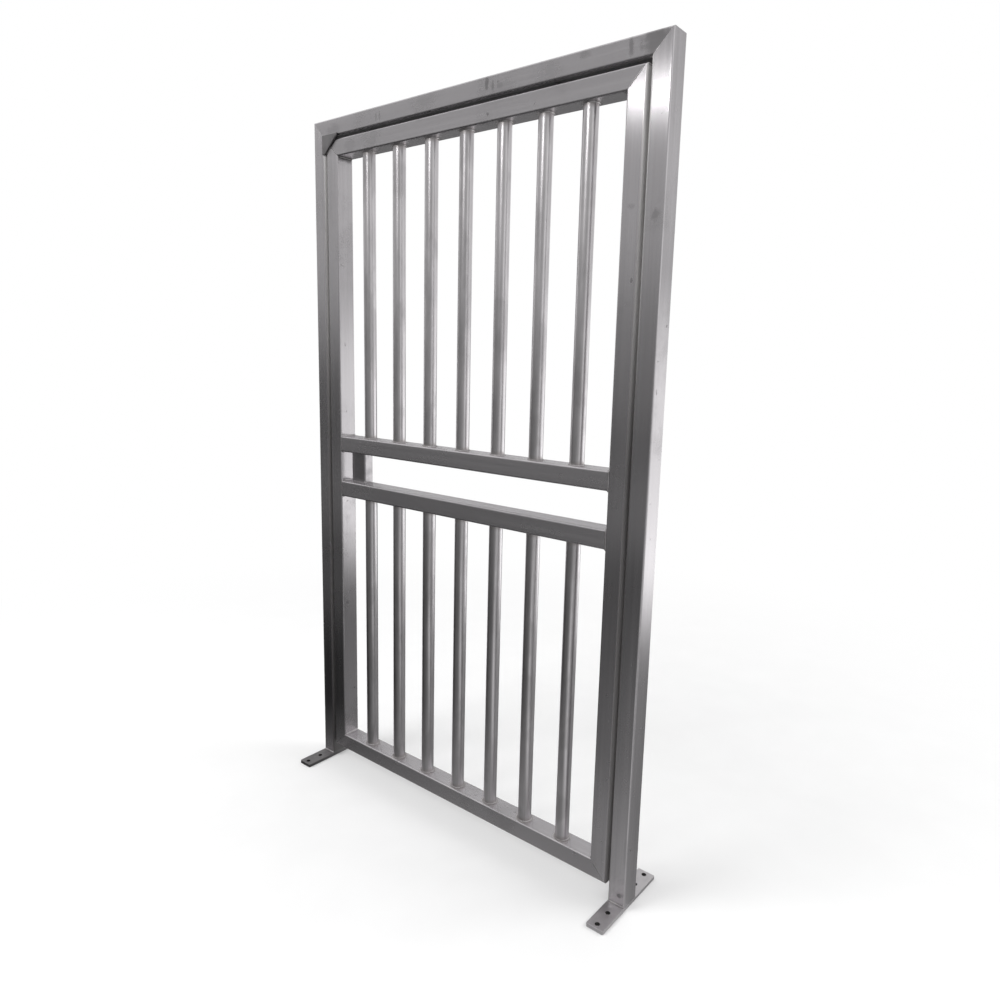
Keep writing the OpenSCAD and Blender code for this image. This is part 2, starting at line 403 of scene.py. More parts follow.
reflection_card("right_card", ACROSS, -FRONT, RIGHT_FLOOR, WALL_X, RIGHT_WALL, RIGHT_COLUMNS,
                JUST_OVER_FLOOR / 2)

# %% [markdown]
# ## Finishes
#
# The sections are stainless steel as it comes from the grinding line: fine straight
# lines along each member, dull blotches from handling, a few rubbed marks, polished
# corners. There are far too many lines to model, so noise stretched along the grain
# draws them. They spread reflections sideways, which the shader's anisotropy copies.
# Its direction is the member's own, so uprights and rails each need their material.

# %% Shader for bare metal
STEEL = (0.600, 0.580, 0.596, 1.0)
QUARTER_TURN = 0.25


def grain_noise(coords, grain, along, across, detail=3.0):
    """A noise that runs in lines; along and across the grain it changes so often a metre"""
    scale = [across, across, across]
    scale["XYZ".index(grain)] = along
    squeezed = put(coords, "ShaderNodeMapping", {"Vector": coords, "Scale": scale})
    return noise(squeezed, detail=detail)


def grain_tangent(tree, grain):
    """The grain's direction as the world has it, for the shader's anisotropy"""
    direction = [float(axis == grain) for axis in "XYZ"]
    return put(tree, "ShaderNodeVectorTransform", {0: direction},
               vector_type="VECTOR", convert_from="OBJECT", convert_to="WORLD").outputs[0]


def steel_surface(colour, rough, height, depth, tangent=None):
    """Metal shader with a bump, and with a grain where a tangent is given"""
    bump = put(colour, "ShaderNodeBump",
               {"Strength": 1.0, "Distance": depth, "Height": height})
    sockets = {"Base Color": colour, "Metallic": 1.0, "Roughness": rough, "Normal": bump}
    if tangent:
        sockets |= {"Tangent": tangent, "Anisotropic": 1.0,
                    "Anisotropic Rotation": QUARTER_TURN}
    return put(colour, "ShaderNodeBsdfPrincipled", sockets).outputs[0]


# %% [markdown]
# Welding tints the metal. Where a bar ends on a rail, a ring of dull straw colour is
# left round it. It is found by the distance from the nearest bar's axis, on the faces
# that bars are welded to.

# %% Weld tint
HEAT = (0.47, 0.44, 0.425, 1.0)
TINT_START, TINT_END = 20 * MM, 29 * MM
TINT_DEPTH = 4 * MM
lower_bar_low, lower_bar_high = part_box("lower_bar_1")
WELD_HEIGHTS = (lower_bar_low.z, lower_bar_high.z, upper_bar_low.z, upper_bar_high.z)


def distance_to(value, place):
    """How far a number is from a place"""
    return math_node("ABSOLUTE", math_node("SUBTRACT", value, place))


def nearness(value, places, reach):
    """1 at any of the places, falling to 0 at reach from it"""
    nearest = distance_to(value, places[0])
    for place in places[1:]:
        nearest = math_node("MINIMUM", nearest, distance_to(value, place))
    return fade(nearest, 0.2 * reach, reach)


def bar_tint(coords):
    """Ring round each bar's end, on the faces that the bars are welded to"""
    middle = (upper_bar_low + upper_bar_high) / 2
    x, y, z = axes(coords)
    bars_on = weighed(0.5 - middle.x / BAR_SPACING, (x, 1 / BAR_SPACING))
    share = math_node("SUBTRACT", math_node("FRACT", bars_on), 0.5)
    away = put(coords, "ShaderNodeCombineXYZ",
               {0: product(share, BAR_SPACING), 1: math_node("SUBTRACT", y, middle.y)})
    ring = fade(vector_node("LENGTH", away), TINT_START, TINT_END)
    return product(ring, nearness(z, WELD_HEIGHTS, TINT_DEPTH))


print("tint at", [round(z, 3) for z in WELD_HEIGHTS])

# %% [markdown]
# Clamps and gloves have left dark marks on the fronts, most of them on the head rail,
# where the frame was held for welding. The largest, at the head rail's right end by the
# mitre, is no mark but a painted dark reflection. Noise alone would scatter them anywhere,
# so each is an oval with a soft, uneven edge, given by its middle and half its size.

# %% Handling marks and a painted reflection
MARKS_AND_PAINTED_REFLECTION = [  # grain of the member, X, Z, half width, half height in millimetres, darkness
    ("X", -492, 2082, 6, 15, 0.34), ("X", -472, 2073, 4, 13, 0.26),
    ("X", -449, 2069, 10, 6, 0.14), ("X", -77, 2078, 6, 18, 0.30),
    # the oval at X -14 by the mitre is a painted dark reflection
    ("X", -14, 2078, 34, 34, 0.34), ("X", -198, 2088, 14, 8, 0.16),
    ("X", -909, 2071, 4, 12, 0.18), ("X", -894, 2071, 4, 12, 0.18),
    ("X", -1024, 2012, 24, 20, 0.10), ("X", -1098, 2062, 30, 20, 0.12),
    ("Z", 4, 1719, 10, 12, 0.20), ("Z", 8, 38, 6, 6, 0.45), ("Z", -60, 1744, 9, 6, 0.14),
    ("Z", 20, 165, 5, 44, 0.10),
]
EDGE_RAGGED = 1.6
EDGE_START, EDGE_END = 1.3, 2.2


def oval(coords, x, z, half_wide=1.0, half_tall=1.0):
    """Distance from a place on the front, where 1 is the oval's rim"""
    away = vector_node("SUBTRACT", coords, (x, 0, z))
    away = vector_node("MULTIPLY", away, (1 / half_wide, 0, 1 / half_tall))
    return vector_node("LENGTH", away)


def marks_and_painted_reflection(coords, grain, uneven):
    """Darkness of the marks on the fronts, one of them a painted reflection"""
    darkest = 0.0
    for member_grain, x, z, half_wide, half_tall, darkness in MARKS_AND_PAINTED_REFLECTION:
        if member_grain == grain:
            size = oval(coords, x * MM, z * MM, half_wide * MM, half_tall * MM)
            size = weighed(size, (uneven, EDGE_RAGGED))
            mark = remap(size, EDGE_START, EDGE_END, darkness, 0.0)
            darkest = math_node("MAXIMUM", mark, darkest)
    depth = axes(coords)["Y"]
    front = fade(depth, post_low.y + 1 * MM, post_low.y + 4 * MM)
    return product(darkest, front)


print(len(MARKS_AND_PAINTED_REFLECTION), "marks")

# %% [markdown]
# Shade and light are painted into the steel in gaps and corners. Deep in the gap over
# the leaf, and in the leaf's upper inner corners, the steel is painted dark as painted
# shade. The gaps beside the leaf are matt and carry painted light: pale above 1.6 m,
# a little darker below 1.1 m.

# %% Painted shade and light in gaps and corners
CORNER_SHADE_COLOUR = (0.10, 0.095, 0.09, 1.0)
GAP_PALE = (0.97, 0.955, 0.95, 1.0)
GAP_DARK = (0.52, 0.505, 0.505, 1.0)
GAP_PALE_HEIGHTS = (1.10, 1.60)
CORNER_SHADE_START, CORNER_SHADE_END, CORNER_SHADE_RAGGED = 10 * MM, 24 * MM, 14 * MM
GAP_SHADE_DEPTHS, CORNER_SHADE_DEPTHS = (0.2, 0.4), (0.38, 0.47)  # start and end, of the gate's depth
rail_under, leaf_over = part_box("head_rail")[0].z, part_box("leaf_top_rail")[1].z
GAP = rail_under - leaf_over


def deep_inside(coords, start, end):
    """1 in the middle of the gate's depth, 0 nearer to its front and back"""
    depth = math_node("ABSOLUTE", axes(coords)["Y"])
    return fade(depth, start * DEPTH, end * DEPTH)


def facing_gap(place, one_side, other_side):
    """1 on the two faces that look into a narrow gap"""
    away = distance_to(place, (one_side + other_side) / 2)
    return fade(away, 0.65 * GAP, GAP)


def painted_gap_light(coords):
    """1 in the upright gaps beside the leaf, where light is painted"""
    x = axes(coords)["X"]
    lock_side = facing_gap(x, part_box("lock_post")[1].x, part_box("lock_stile")[0].x)
    hinge_side = facing_gap(x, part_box("hinge_stile")[1].x, post_low.x)
    return math_node("MAXIMUM", lock_side, hinge_side)


def painted_gap_shade(coords):
    """1 deep in the gap over the leaf, where shade is painted"""
    over_leaf = facing_gap(axes(coords)["Z"], rail_under, leaf_over)
    return product(over_leaf, deep_inside(coords, *GAP_SHADE_DEPTHS))


def painted_corner_shade(coords, uneven):
    """1 in the leaf's upper inner corners, where shade is painted"""
    corner_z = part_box("leaf_top_rail")[0].z
    shaded_corner = 0.0
    for corner_x in (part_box("lock_stile")[1].x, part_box("hinge_stile")[0].x):
        away = weighed(oval(coords, corner_x, corner_z), (uneven, CORNER_SHADE_RAGGED))
        painted_shade = fade(away, CORNER_SHADE_START, CORNER_SHADE_END)
        shaded_corner = math_node("MAXIMUM", painted_shade, shaded_corner)
    return product(shaded_corner, deep_inside(coords, *CORNER_SHADE_DEPTHS))


print(f"gap over the leaf {GAP:.4f}")

# %% [markdown]
# Now the brushed steel itself. Four noises run along the grain: hair lines, streaks,
# broad bands, and the slight waves of the wall. Tint, marks, a painted reflection, and
# painted shade and light lie over them. Each changes the colour a little, and makes the
# metal rougher, or smoother where it is rubbed.

# %% Brushed steel
# How often each noise changes a metre, along the grain and across it
HAIR, STREAK, BAND, WAVE = (4, 900), (1.3, 95), (0.7, 16), (3.0, 7.0)
BLOTCHES, SPOTS, RAGGED_EDGES = 7.0, 34.0, 70.0
STREAK_TONES, BAND_TONES, HAIR_TONES = (0.95, 1.04), (0.95, 1.03), (0.95, 1.04)
WAVE_HEIGHT, HAIR_HEIGHT, STREAK_HEIGHT = 0.7, 0.006, 0.012  # in millimetres
BRUSHED_ROUGH = (0.23, 0.27)
CORNER_SHADE_SHARE, GAP_SHADE_SHARE, TINT_SHARE, GAP_PAINT_SHARE = 0.65, 0.55, 0.7, 0.9
# What dull blotches, dark spots and rubbed corners add to the tone and to the roughness
DULL_TONE, SPOT_TONE, RUBBED_TONE = -0.10, -0.30, 0.05
DULL_ROUGH, SPOT_ROUGH, RUBBED_ROUGH = 0.04, 0.12, -0.06
MARKS_AND_SHADE_ROUGH, GAP_ROUGH, TINT_ROUGH = 0.15, 0.40, 0.06


def brushed_steel(name, grain):
    """Hollow section with its grain along X or Z"""
    material, tree, surface = new_material(name)
    coords = object_coords(tree)
    hair = grain_noise(coords, grain, *HAIR, detail=2)
    streak = grain_noise(coords, grain, *STREAK, detail=4)
    band = grain_noise(coords, grain, *BAND, detail=2)
    wave = grain_noise(coords, grain, *WAVE, detail=1)
    blotch = noise(coords, BLOTCHES, 5, 0.62)
    uneven = noise(coords, RAGGED_EDGES)

    dull = remap(blotch, 0.50, 0.72)
    spot = remap(noise(coords, SPOTS, 2), 0.70, 0.78)
    worn = put(tree, "ShaderNodeAttribute", attribute_name="worn").outputs["Fac"]
    rubbed = product(worn, remap(blotch, 0.35, 0.6, 1.0, 0.35))
    tint = bar_tint(coords)
    # dark marks, one of them a painted reflection, plus painted shade in corners and gaps
    marks_and_shade = weighed(marks_and_painted_reflection(coords, grain, uneven),
                    (painted_corner_shade(coords, uneven), CORNER_SHADE_SHARE))
    # painted shade deep in the gap over the leaf
    if grain == "X":
        marks_and_shade = weighed(marks_and_shade, (painted_gap_shade(coords), GAP_SHADE_SHARE))

    tone = product(remap(streak, 0.25, 0.75, *STREAK_TONES, "LINEAR"),
                   remap(band, 0.3, 0.7, *BAND_TONES),
                   remap(hair, 0.2, 0.8, *HAIR_TONES),
                   weighed(1.0, (dull, DULL_TONE)),
                   weighed(1.0, (spot, SPOT_TONE)))
    tone = weighed(tone, (rubbed, RUBBED_TONE))
    tone = product(tone, weighed(1.0, (marks_and_shade, -1.0)))
    colour = tinted(STEEL, tone)
    colour = blend_colour(product(tint, TINT_SHARE), colour, HEAT)

    rough = remap(streak, 0.25, 0.75, *BRUSHED_ROUGH, "LINEAR")
    rough = weighed(rough, (marks_and_shade, MARKS_AND_SHADE_ROUGH))
    # painted light in the upright gaps: pale high up, a little darker low down, and matt
    if grain == "Z":
        in_gap = painted_gap_light(coords)
        pale = remap(axes(coords)["Z"], *GAP_PALE_HEIGHTS)
        gap_paint = blend_colour(pale, GAP_DARK, GAP_PALE)
        colour = blend_colour(product(in_gap, GAP_PAINT_SHARE), colour, gap_paint)
        rough = weighed(rough, (in_gap, GAP_ROUGH))
    rough = weighed(rough, (tint, TINT_ROUGH), (dull, DULL_ROUGH), (spot, SPOT_ROUGH),
                    (rubbed, RUBBED_ROUGH))

    height = weighed(0.0, (wave, WAVE_HEIGHT), (hair, HAIR_HEIGHT), (streak, STREAK_HEIGHT))
    shader = steel_surface(colour, rough, height, MM, grain_tangent(tree, grain))
    tree.links.new(shader, surface)
    return material


upright_steel = brushed_steel("upright_steel", "Z")
level_steel = brushed_steel("level_steel", "X")
print("made", upright_steel.name, "and", level_steel.name)

# %% [markdown]
# Round tube comes bright and a little wavy from the drawing die, with faint lines along
# it and cloudy patches where it was held and wiped. Near both ends the weld has left a
# dull, slightly straw-coloured ring, found here by height, since the bars stand upright.

# %% Drawn tube
DRAWN_STEEL = (0.675, 0.655, 0.668, 1.0)
HEATED_END = 16 * MM
HEATED_SHARE = 0.6
LINES, WIPES, CLOUDS = (1.5, 260), (5.0, 11.0), (9.0, 40.0)  # a metre, along and across
LINE_TONES, CLOUD_TONES = (0.90, 1.07), (0.91, 1.06)
material, tree, surface = new_material("drawn_tube")
coords = object_coords(tree)
line = grain_noise(coords, "Z", *LINES)
wipe = grain_noise(coords, "Z", *WIPES, detail=4)
cloud = grain_noise(coords, "Z", *CLOUDS)
heated = nearness(axes(coords)["Z"], WELD_HEIGHTS, HEATED_END)
dull = remap(wipe, 0.50, 0.60)

tone = product(remap(line, 0.25, 0.75, *LINE_TONES, "LINEAR"),
               weighed(1.03, (dull, -0.16)),
               remap(cloud, 0.3, 0.7, *CLOUD_TONES))
colour = tinted(DRAWN_STEEL, tone)
colour = blend_colour(product(heated, HEATED_SHARE), colour, HEAT)
rough = weighed(0.26, (dull, 0.06), (cloud, 0.06), (heated, 0.12))
height = weighed(0.0, (wipe, 0.12), (line, 0.006))
tree.links.new(steel_surface(colour, rough, height, MM), surface)
tube_steel = material
print(f"drawn tube, straw-coloured for {HEATED_END:.3f} at both ends")

# %% [markdown]
# The other metals have no grain. Plates are cut from hot-rolled sheet: matt, finely
# pitted, scuffed where boots and tools have touched them, and darker where the skin of
# the mill is still on them. Weld metal gets painted shade in the leaf's upper inner
# corners. Barrels, pins, washers and holes are cut by a turning tool, so their lines run
# round the axis: the fine noise changes much faster along it than round it. The walls
# of the holes are painted nearly black, as painted shade.

# %% Plate, turned steel, welds, holes and brass
DULL_STEEL = (0.480, 0.465, 0.477, 1.0)
PLAIN_METALS = [
    # name, colour, duller colour, roughness from and to, pits a metre along Z, their
    # depth, share of painted shade in the corners
    ("cut_plate", (0.68, 0.66, 0.67, 1), STEEL, 0.34, 0.46, 700, 0.04 * MM, 0),
    ("mill_plate", (0.34, 0.33, 0.335, 1), (0.24, 0.232, 0.236, 1), 0.34, 0.50, 700,
     0.04 * MM, 0),
    ("folded_sheet", DULL_STEEL, (0.36, 0.35, 0.36, 1), 0.26, 0.38, 14, 0.03 * MM, 0),
    ("turned_steel", STEEL, DULL_STEEL, 0.20, 0.34, 2600, 0.02 * MM, 0),
    ("weld_metal", (0.62, 0.60, 0.61, 1), (0.36, 0.345, 0.345, 1), 0.26, 0.42, 300,
     0.03 * MM, 0.75),
    # hole walls painted nearly black, as painted shade
    ("drilled_hole", (0.11, 0.105, 0.10, 1), (0.04, 0.04, 0.04, 1), 0.45, 0.60, 2600,
     0.04 * MM, 0),
    ("brass", (0.62, 0.43, 0.17, 1), (0.36, 0.24, 0.11, 1), 0.22, 0.40, 2200, 0.02 * MM, 0),
]
PATCHES, PITS_ACROSS, SCUFFS = 26.0, 700, (30, 420)  # how often they change a metre


def plain_metal(name, colour_now, dull_colour, rough_low, rough_high, pits_up, depth, painted_shade):
    """Metal with no grain, or with rings where the pits are squeezed along Z"""
    material, tree, surface = new_material(name)
    coords = object_coords(tree)
    patch = noise(coords, PATCHES, 5, 0.6)
    pit = grain_noise(coords, "Z", pits_up, PITS_ACROSS)
    scuff = grain_noise(coords, "Y", *SCUFFS, detail=2)
    rubbed = remap(scuff, 0.62, 0.70)
    amount = weighed(remap(patch, 0.38, 0.66, 0, 0.7), (pit, 0.35))
    colour = blend_colour(amount, colour_now, dull_colour)
    # painted shade in the leaf's upper inner corners, on the weld beads
    if painted_shade:
        shaded_corner = product(painted_corner_shade(coords, patch), painted_shade)
        colour = blend_colour(shaded_corner, colour, CORNER_SHADE_COLOUR)
    rough = remap(amount, 0.0, 1.0, rough_low, rough_high, "LINEAR")
    rough = weighed(rough, (rubbed, -0.08))
    height = weighed(pit, (patch, 2.0))
    tree.links.new(steel_surface(colour, rough, height, depth), surface)
    return material


metals = {row[0]: plain_metal(*row) for row in PLAIN_METALS}
print("made", ", ".join(metals))

# %% [markdown]
# ## The welded sections
#
# A rectangular hollow section is a rounded outline run along a straight line, with a
# second, smaller outline for its inside. Where two members meet at a corner both are
# cut at 45 degrees, so one side of the member is longer than the other. A cube with a
# bevel would look the same from far off, but it has no wall to see at an open end. Each
# member takes its place and length from the box of its CAD node.

# %% Outline of a section
CORNER_STEPS = 6


def rounded_outline(face, depth, corner, steps=CORNER_STEPS):
    """(across, through, worn) round a rounded rectangle; worn is 1 on a corner's crest"""
    points = []
    for side_a, side_d, start in ((1, 1, 0), (-1, 1, 1), (-1, -1, 2), (1, -1, 3)):
        for step in range(steps + 1):
            turn = (start + step / steps) * math.pi / 2
            points.append((side_a * (face / 2 - corner) + corner * math.cos(turn),
                           side_d * (depth / 2 - corner) + corner * math.sin(turn),
                           math.sin(step / steps * math.pi)))
    return points


def join_rings(shape, rings, finish=0):
    """Walls between rings of points; next to a ring of one repeated point they are a fan"""
    for low, high in zip(rings, rings[1:]):
        for k in range(len(low)):
            corners = dict.fromkeys((low[k - 1], low[k], high[k], high[k - 1]))
            shape.faces.new(corners).material_index = finish


def evaluated_mesh(thing):
    """The object's mesh with its modifiers applied; the modifiers are then removed"""
    graph = bpy.context.evaluated_depsgraph_get()
    mesh = bpy.data.meshes.new_from_object(thing.evaluated_get(graph))
    mesh.name = thing.name
    thing.modifiers.clear()
    thing.data = mesh
    return thing


def smooth_edges(thing, degrees=40):
    """Smooth shading that keeps flats flat and edges over the angle sharp"""
    thing.data.shade_smooth()
    thing.data.set_sharp_from_angle(angle=math.radians(degrees))
    modifier = thing.modifiers.new("flats", "WEIGHTED_NORMAL")
    modifier.keep_sharp = True
    modifier.weight = 100
    return evaluated_mesh(thing)


def finished(name, shape, materials, body, node, degrees=50):
    """Turns a drawn shape into a piece that stands for a CAD node"""
    bmesh.ops.recalc_face_normals(shape, faces=shape.faces)
    thing = smooth_edges(new_object(name, mesh_of(shape, name), *materials), degrees)
    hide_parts(node)
    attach(thing, body)
    print(name, len(thing.data.polygons), "faces")


# %% [markdown]
# `member` builds one section from its node's box: the outer outline at both ends, then
# the inner one, joined all the way round. `long_low` and `long_high` say which side of
# the cut is the long one at each end: 1 or -1 for the side towards plus or minus, and 0
# for a square end.

# %% One mitred member
def member(node, grain, long_low, long_high, body):
    """Hollow section that stands for a CAD node"""
    low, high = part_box(node)
    along, across = (2, 0) if grain == "Z" else (0, 2)
    low_end, high_end = (low[along], 1, long_low), (high[along], -1, long_high)
    outer = rounded_outline(FACE, DEPTH, CORNER)
    inner = rounded_outline(FACE - 2 * WALL, DEPTH - 2 * WALL, CORNER - WALL)
    shape = bmesh.new()
    worn = shape.verts.layers.float.new("worn")
    rings = []
    for outline, (edge, inward, long_side) in (
            (outer, low_end), (outer, high_end), (inner, high_end), (inner, low_end)):
        ring = []
        for aside, through, crest in outline:
            place = (low + high) / 2
            place[across] += aside
            place.y += through
            place[along] = edge + inward * (FACE / 2 - long_side * aside) * abs(long_side)
            point = shape.verts.new(place)
            point[worn] = crest if outline is outer else 0.0
            ring.append(point)
        rings.append(ring)
    join_rings(shape, rings + rings[:1])
    finish = upright_steel if grain == "Z" else level_steel
    finished(node + "_section", shape, [finish], body, node, 40)


member("lock_post", "Z", 0, -1, "frame")
member("hinge_post", "Z", 0, 1, "frame")
member("head_rail", "X", 1, 1, "frame")
member("lock_stile", "Z", -1, -1, "leaf")
member("hinge_stile", "Z", 1, 1, "leaf")
member("leaf_top_rail", "X", 1, 1, "leaf")
member("leaf_bottom_rail", "X", -1, -1, "leaf")
member("upper_mid_rail", "X", 0, 0, "leaf")
member("lower_mid_rail", "X", 0, 0, "leaf")

# %% [markdown]
# ## The bars
#
# Seven equal tubes in a row are a rule, so Geometry Nodes make them: a line of points,
# and on each point a small rectangle, the tube's wall, swept round a circle. The same
# tree makes both panels. Only its inputs differ: sizes in metres, each with a name.

# %% Tree for a row of bars
BAR_WALL = 1.5 * MM
TUBE_STEPS = 56


def geometry_tree(name, *inputs):
    """A new geometry tree and the sockets of its inputs, each (name, kind, value)"""
    tree = bpy.data.node_groups.new(name, "GeometryNodeTree")
    for title, kind, *value in inputs:
        socket = tree.interface.new_socket(title, in_out="INPUT", socket_type="NodeSocket" + kind)
        if value:
            socket.default_value = value[0]
    tree.interface.new_socket("Geometry", in_out="OUTPUT", socket_type="NodeSocketGeometry")
    return tree, tree.nodes.new("NodeGroupInput").outputs


def end_tree(tree, geometry, material):
    """Makes instances real and gives them their finish"""
    real = put(tree, "GeometryNodeRealizeInstances", {"Geometry": geometry})
    finish = put(tree, "GeometryNodeSetMaterial", {"Geometry": real, "Material": material})
    put(tree, "NodeGroupOutput", {"Geometry": finish})
    return tree


def bars_tree():
    """Row of upright tubes"""
    tree, given = geometry_tree(
        "row_of_bars", ("Count", "Int", BAR_COUNT), ("Spacing", "Float", BAR_SPACING),
        ("Radius", "Float", BAR_RADIUS), ("Wall", "Float", BAR_WALL),
        ("Length", "Float", 1.0), ("First Middle", "Vector"))
    wall_middle = weighed(given["Radius"], (given["Wall"], -0.5))
    step = put(tree, "ShaderNodeCombineXYZ", {0: given["Spacing"]})
    row = put(tree, "GeometryNodeMeshLine",
              {"Count": given["Count"], "Start Location": given["First Middle"], "Offset": step})
    ring = put(tree, "GeometryNodeCurvePrimitiveCircle",
               {"Resolution": TUBE_STEPS, "Radius": wall_middle})
    cut = put(tree, "GeometryNodeCurvePrimitiveQuadrilateral",
              {"Width": given["Wall"], "Height": given["Length"]})
    tube = put(tree, "GeometryNodeCurveToMesh", {"Curve": ring, "Profile Curve": cut})
    bars = put(tree, "GeometryNodeInstanceOnPoints", {"Points": row, "Instance": tube})
    return end_tree(tree, bars, tube_steel)


def outward(thing):
    """Turns every face of a closed mesh outwards, and drops its empty material slot"""
    metal = thing.data.materials[-1]
    shape = bmesh.new()
    shape.from_mesh(thing.data)
    bmesh.ops.remove_doubles(shape, verts=shape.verts, dist=1e-6)
    bmesh.ops.recalc_face_normals(shape, faces=shape.faces)
    for face in shape.faces:
        face.material_index = 0
    shape.to_mesh(thing.data)
    shape.free()
    thing.data.materials.clear()
    thing.data.materials.append(metal)
    return thing


def grown(thing, tree, **inputs):
    """Lets a tree with these inputs make the object's mesh, and keeps it as a plain one"""
    modifier = thing.modifiers.new(tree.name, "NODES")
    modifier.node_group = tree
    for item in tree.interface.items_tree:
        title = item.name.replace(" ", "_")
        if item.in_out == "INPUT" and title in inputs:
            modifier[item.identifier] = inputs[title]
    return outward(evaluated_mesh(thing))


# %% [markdown]
# The upper and the lower panel differ only in the length of their bars and in where the
# first one stands. Once the tree has made a row, it is kept as a plain mesh, so that
# nothing is left to work out when the leaf is turned or exported.

# %% Two rows of bars
row_tree = bars_tree()
for panel in ("upper", "lower"):
    low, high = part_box(panel + "_bar_1")
    bars = new_object(panel + "_bars", bpy.data.meshes.new(panel + "_bars"))
    grown(bars, row_tree, Length=high.z - low.z, First_Middle=tuple((low + high) / 2))
    smooth_edges(bars)
    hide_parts(*[f"{panel}_bar_{k}" for k in range(1, BAR_COUNT + 1)])
    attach(bars, "leaf")
    print(bars.name, len(bars.data.polygons), "faces")

# %% [markdown]
# ## Plates
#
# Foot plates, the stop plate and the lock bracket are all flat stock with a cut outline,
# some with holes. A boolean could cut the holes, but it leaves long thin faces that a
# bevel can't follow. So each outline is repeated at four heights, a little smaller at the
# faces, and rims and holes get the small bevel a file leaves.

# %% Stock with a cut outline
RIM = 0.6 * MM


def shrunk(loop, amount):
    """Closed loop of 2-D points, counter-clockwise, moved inwards; below zero widens it"""
    moved = []
    for before, here, after in zip(loop[-1:] + loop[:-1], loop, loop[1:] + loop[:1]):
        one, two = (here - before).normalized(), (after - here).normalized()
        inward = Vector((-one.y - two.y, one.x + two.x)) / (1 + one.dot(two))
        moved.append(here + inward * amount)
    return moved


def circle(radius, middle=(0, 0), steps=36):
    """Round loop"""
    turns = [2 * math.pi * k / steps for k in range(steps)]
    return [Vector((middle[0] + radius * math.cos(turn), middle[1] + radius * math.sin(turn)))
            for turn in turns]


def add_plate(shape, loops, thick, place, rim=RIM, hole_finish=0):
    """Adds stock with bevelled rims. The first loop is its outline, the rest are holes;
    place turns across, along and height into a point"""
    caps = [[], []]
    for number, loop in enumerate(loops):
        inwards = -1 if number else 1
        rings = [[shape.verts.new(place(point.x, point.y, height))
                  for point in shrunk(loop, inwards * inset)]
                 for height, inset in ((0, rim), (rim, 0), (thick - rim, 0), (thick, rim))]
        join_rings(shape, rings, hole_finish if number else 0)
        for cap, ring in zip(caps, (rings[0], rings[-1])):
            cap.extend(shape.edges.get((ring[k - 1], ring[k])) for k in range(len(ring)))
    for edges in caps:
        bmesh.ops.triangle_fill(shape, use_beauty=True, edges=edges)


def plate_piece(name, loops, thick, place, stocks, body, node, rim=RIM, degrees=50):
    """A piece of cut stock; the walls of its holes get the last of the metals"""
    shape = bmesh.new()
    add_plate(shape, loops, thick, place, rim, len(stocks) - 1)
    finished(name, shape, [metals[stock] for stock in stocks], body, node, degrees)


# %% [markdown]
# A foot plate is a length of flat bar under each post, with two anchor holes in front
# of the post and two behind it. The drilled walls are painted nearly black, as painted shade.
# The lock post's plate gets the darker of the two plate finishes.

# %% Foot plates
HOLE_RADIUS = 6 * MM
HOLES_AT = (-120 * MM, -70 * MM, 70 * MM, 120 * MM)
FOOT_CORNER = 4 * MM

for node, stock in (("lock_foot", "mill_plate"), ("hinge_foot", "cut_plate")):
    low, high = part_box(node)
    middle, size = (low + high) / 2, high - low
    outline = [Vector(point[:2]) for point in rounded_outline(size.x, size.y, FOOT_CORNER)]
    loops = [outline] + [circle(HOLE_RADIUS, (0, along)) for along in HOLES_AT]
    plate_piece(node + "_plate", loops, size.z,
                lambda u, v, h: (middle.x + u, middle.y + v, low.z + h),
                # the walls of the holes get painted shade
                (stock, "drilled_hole"), "frame", node)

# %% [markdown]
# The stop plate is a corner of thick sheet that laps over the frame. The leaf closes
# against it. The saw has blunted its upper tip, and its lower end is cut square, just
# wide enough to cover the gap beside the leaf.

# %% Stop plate
STOP_TIP = 3 * MM
STOP_FOOT = 12 * MM
low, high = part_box("stop_plate")
outline = [Vector(point) for point in
           ((low.x, high.z), (low.x, low.z), (low.x + STOP_FOOT, low.z),
            (high.x, high.z - STOP_TIP), (high.x, high.z))]
plate_piece("stop_plate_sheet", [outline], high.y - low.y, lambda u, v, h: (u, low.y + h, v),
            ("mill_plate",), "frame", "stop_plate")

# %% [markdown]
# The lock bracket is one strip of sheet folded once. Its front leaf faces the passage,
# the return runs back to the leaf's rear face. The outline seen from above is run
# straight up, and the outside of the fold gets its real bend radius.

# %% Lock bracket
SHEET = 3 * MM
BEND = 6 * MM
SHEET_RIM = 0.3 * MM
low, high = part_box("lock_case")
bend_x, bend_y = high.x - BEND, low.y + BEND


def bend(radius, first, last, steps=8):
    """Arc of the fold between two angles in degrees"""
    turns = [math.radians(first + (last - first) * k / steps) for k in range(steps + 1)]
    return [(bend_x + radius * math.cos(turn), bend_y + radius * math.sin(turn))
            for turn in turns]


outer_fold = [(low.x, low.y)] + bend(BEND, -90, 0) + [(high.x, high.y)]
inner_fold = [(high.x - SHEET, high.y)] + bend(BEND - SHEET, 0, -90) + [(low.x, low.y + SHEET)]
outline = [Vector(point) for point in outer_fold + inner_fold]
plate_piece("lock_bracket", [outline], high.z - low.z, lambda u, v, h: (u, v, low.z + h),
            ("folded_sheet",), "leaf", "lock_case", SHEET_RIM, 30)

# %% [markdown]
# ## Hinges
#
# Each hinge is a pair of barrels on a pin. The lower half carries the pin and is welded
# to the post. The upper half is a capped socket, welded to the leaf. Barrels, pin and
# washer come off a lathe, so their shape is a profile turned round the hinge's axis, as
# Blender's Spin tool would do it. A flap, cut from bar, joins each barrel to its post or
# stile.

